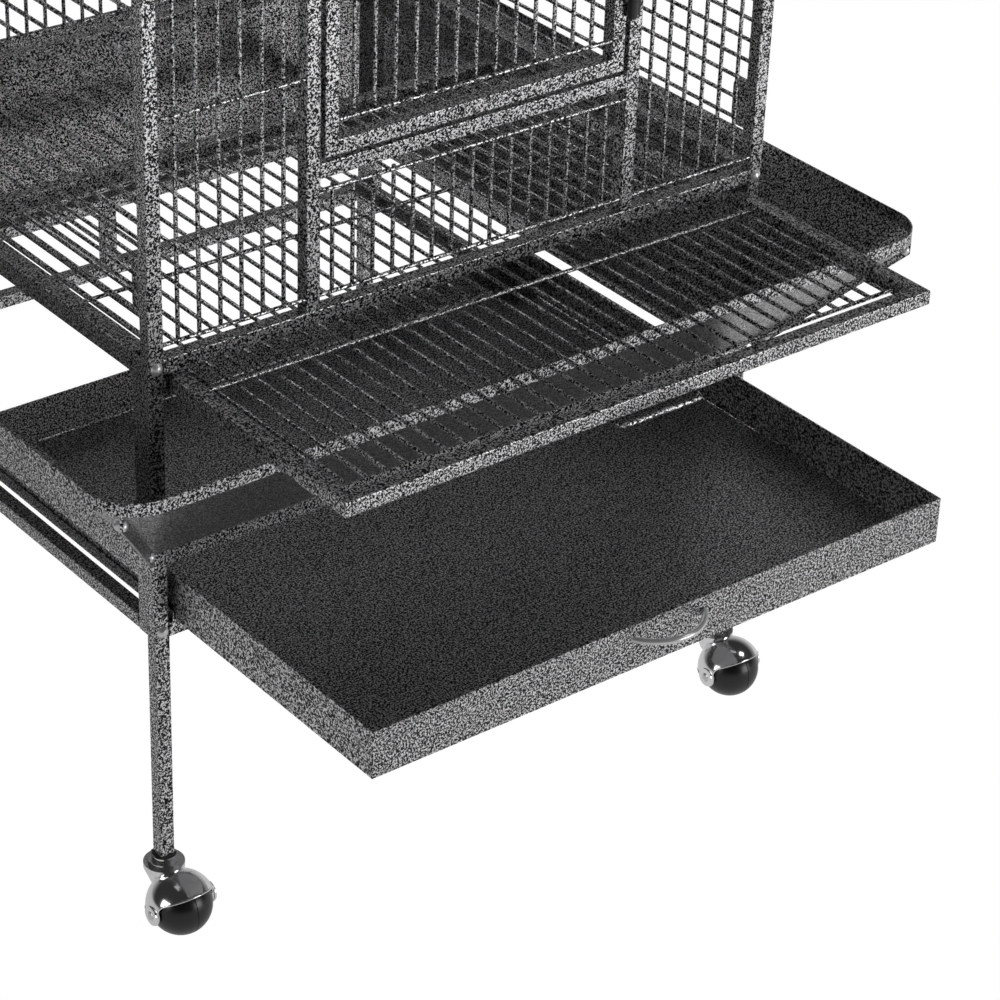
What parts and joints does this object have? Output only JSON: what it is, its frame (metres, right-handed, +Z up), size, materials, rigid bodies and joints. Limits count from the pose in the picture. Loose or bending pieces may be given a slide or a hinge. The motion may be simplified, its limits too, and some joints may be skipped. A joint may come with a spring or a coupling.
{
  "type": "parrot cage",
  "caption": "Wire parrot cage on a castered tube stand, with sloping seed guards, a hinged front door, a slide-out grate and a slide-out tray.",
  "frame": {"origin": "on the floor under the centre of the stand", "axes": "+X to the right seen from the door, +Y to the rear, +Z up"},
  "size_m": [0.804, 0.9452, 1.459],
  "materials": {
    "powder_coat": "black and silver hammered powder coat",
    "chrome": "bright chrome plate",
    "zinc": "bright zinc plate",
    "ball": "glossy black",
    "plug": "black moulded plastic",
    "black_fittings": "smooth black paint"
  },
  "bodies": {
    "frame": {"base_rails": "powder_coat", "caster_stems": "zinc", "corner_stiles": "powder_coat", "frame_bolts": "zinc", "front_bars_above_door": "powder_coat", "front_bars_below_door": "powder_coat", "front_bars_left": "powder_coat", "front_bars_right": "powder_coat", "front_frame": "powder_coat", "grate_runners": "powder_coat", "guard_bolts": "zinc", "guard_nuts": "zinc", "hinge_pins": "black_fittings", "latch_keeper": "black_fittings", "leg_front_left": "powder_coat", "leg_front_right": "powder_coat", "leg_plugs": "plug", "leg_rear_left": "powder_coat", "leg_rear_right": "powder_coat", "lower_rails": "powder_coat", "panel_hooks": "powder_coat", "rear_bars": "powder_coat", "roof_bars": "powder_coat", "seed_guard_front": "powder_coat", "seed_guard_left": "powder_coat", "seed_guard_rear": "powder_coat", "seed_guard_right": "powder_coat", "side_bars_left": "powder_coat", "side_bars_right": "powder_coat", "stand_post_front_left": "powder_coat", "stand_post_front_right": "powder_coat", "stand_post_rear_left": "powder_coat", "stand_post_rear_right": "powder_coat", "top_rails": "powder_coat", "tray_runners": "powder_coat", "tray_stop": "powder_coat", "upper_rails": "powder_coat"},
    "tray": {"tray_pan": "powder_coat", "tray_handle": "chrome"},
    "grate": {"grate_frame": "powder_coat", "grate_bars": "powder_coat", "grate_handle": "powder_coat"},
    "door": {"door_frame": "powder_coat", "door_bars": "powder_coat", "hinge_knuckles": "black_fittings", "latch_guide": "black_fittings"},
    "latch": {"latch_bolt": "black_fittings"},
    "caster_front_left": {"caster_hood_front_left": "chrome", "caster_axle_front_left": "zinc"},
    "ball_front_left": {"caster_ball_front_left": "ball"},
    "caster_front_right": {"caster_hood_front_right": "chrome", "caster_axle_front_right": "zinc"},
    "ball_front_right": {"caster_ball_front_right": "ball"},
    "caster_rear_left": {"caster_hood_rear_left": "chrome", "caster_axle_rear_left": "zinc"},
    "ball_rear_left": {"caster_ball_rear_left": "ball"},
    "caster_rear_right": {"caster_hood_rear_right": "chrome", "caster_axle_rear_right": "zinc"},
    "ball_rear_right": {"caster_ball_rear_right": "ball"}
  },
  "joints": [
    {"name": "tray_slide", "type": "slide", "parent": "frame", "child": "tray", "axis": [0, -1, 0], "range_m": [-0.247, 0.2]},
    {"name": "grate_slide", "type": "slide", "parent": "frame", "child": "grate", "axis": [0, -1, 0], "range_m": [-0.221, 0.2]},
    {"name": "door_hinge", "type": "hinge", "parent": "frame", "child": "door", "pos_m": [0.14658, -0.28165, 0.9], "axis": [0, 0, 1], "range_deg": [0, 110]},
    {"name": "latch_slide", "type": "slide", "parent": "door", "child": "latch", "axis": [-1, 0, 0], "range_m": [0, 0.013]},
    {"name": "swivel_front_left", "type": "hinge", "parent": "frame", "child": "caster_front_left", "pos_m": [-0.2965, -0.271, 0.05], "axis": [0, 0, 1], "continuous": true},
    {"name": "roll_front_left", "type": "hinge", "parent": "caster_front_left", "child": "ball_front_left", "pos_m": [-0.2965, -0.295, 0.026], "axis": [1, 0, 0], "continuous": true},
    {"name": "swivel_front_right", "type": "hinge", "parent": "frame", "child": "caster_front_right", "pos_m": [0.2965, -0.271, 0.05], "axis": [0, 0, 1], "continuous": true},
    {"name": "roll_front_right", "type": "hinge", "parent": "caster_front_right", "child": "ball_front_right", "pos_m": [0.2965, -0.295, 0.026], "axis": [1, 0, 0], "continuous": true},
    {"name": "swivel_rear_left", "type": "hinge", "parent": "frame", "child": "caster_rear_left", "pos_m": [-0.2965, 0.271, 0.05], "axis": [0, 0, 1], "continuous": true},
    {"name": "roll_rear_left", "type": "hinge", "parent": "caster_rear_left", "child": "ball_rear_left", "pos_m": [-0.2965, 0.247, 0.026], "axis": [1, 0, 0], "continuous": true},
    {"name": "swivel_rear_right", "type": "hinge", "parent": "frame", "child": "caster_rear_right", "pos_m": [0.2965, 0.271, 0.05], "axis": [0, 0, 1], "continuous": true},
    {"name": "roll_rear_right", "type": "hinge", "parent": "caster_rear_right", "child": "ball_rear_right", "pos_m": [0.2965, 0.247, 0.026], "axis": [1, 0, 0], "continuous": true}
  ]
}
